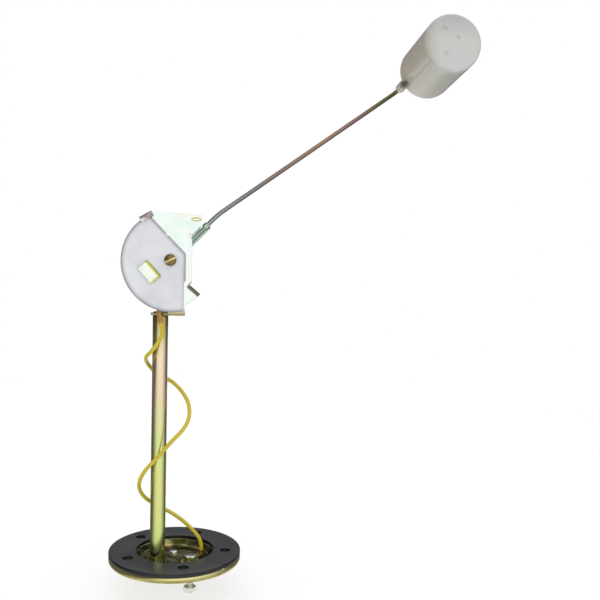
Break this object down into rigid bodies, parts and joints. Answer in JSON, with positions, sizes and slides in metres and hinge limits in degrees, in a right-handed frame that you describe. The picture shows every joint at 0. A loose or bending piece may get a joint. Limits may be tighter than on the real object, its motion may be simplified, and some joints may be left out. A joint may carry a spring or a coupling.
{
  "type": "fuel level sender",
  "caption": "Lever-arm fuel level sender: float on a bent wire, sector-faced variable resistor on a tube stem, round bolted flange with gasket and insulated terminal.",
  "frame": {"origin": "centre of the gasket's sealing face, which is clamped to the tank, on the axis of the bolt circle", "axes": "+Z along the stem into the tank, +X towards the float, -Y towards the white sector plate's face"},
  "size_m": [0.1863, 0.07, 0.3019],
  "materials": {
    "yellow_zinc": "yellow passivated zinc plate, satin, with a faint green and pink bloom",
    "bright_zinc": "bright zinc plate, smooth",
    "gasket_rubber": "matt black moulded rubber",
    "white_nylon": "white moulded nylon, satin",
    "brown_fibre": "brown pressed fibre strip",
    "resistance_wire": "close turns of bare resistance wire",
    "brass": "turned or pressed brass, slightly dull",
    "brown_sleeving": "brown insulating sleeving",
    "yellow_insulation": "yellow plastic wire covering",
    "spring_steel": "grey spring steel",
    "zinc_wire": "zinc plated wire with a brown and green bloom",
    "spring_bronze": "thin spring bronze strip",
    "contact_silver": "polished silver contact",
    "float_plastic": "milky translucent moulded plastic, satin"
  },
  "bodies": {
    "stem_unit": {"flange_plate": "yellow_zinc", "flange_gasket": "gasket_rubber", "stem_tube": "yellow_zinc", "bracket": "bright_zinc", "sector_plate": "white_nylon", "resistor_former": "brown_fibre", "resistance_winding": "resistance_wire", "winding_tag": "brass", "lead_sleeve": "brown_sleeving", "signal_lead": "yellow_insulation", "pivot_pin": "brass", "pivot_clip": "spring_steel", "drag_washer": "spring_steel", "terminal_screw": "bright_zinc", "upper_insulator": "white_nylon", "lower_insulator": "white_nylon", "plain_washer": "bright_zinc", "lock_washer": "spring_steel", "terminal_nuts": "bright_zinc", "solder_tag": "brass", "earth_rivet": "bright_zinc", "earth_blade": "brass"},
    "arm": {"hub_bush": "brass", "arm_lever": "bright_zinc", "arm_wire": "zinc_wire", "wiper_blade": "spring_bronze", "blade_rivets": "brass", "wiper_contact": "contact_silver", "float_clip": "spring_steel"},
    "float": {"float_body": "float_plastic", "float_cap": "float_plastic"}
  },
  "joints": [
    {"name": "arm_pivot", "type": "hinge", "parent": "stem_unit", "child": "arm", "pos_m": [-0.0044, -0.0122, 0.1536], "axis": [0, 1, 0], "range_deg": [0, 86]},
    {"name": "float_swivel", "type": "hinge", "parent": "arm", "child": "float", "pos_m": [0.1219, 0.0098, 0.2544], "axis": [0, 0.9976, -0.0698], "range_deg": [-105, 105]}
  ]
}
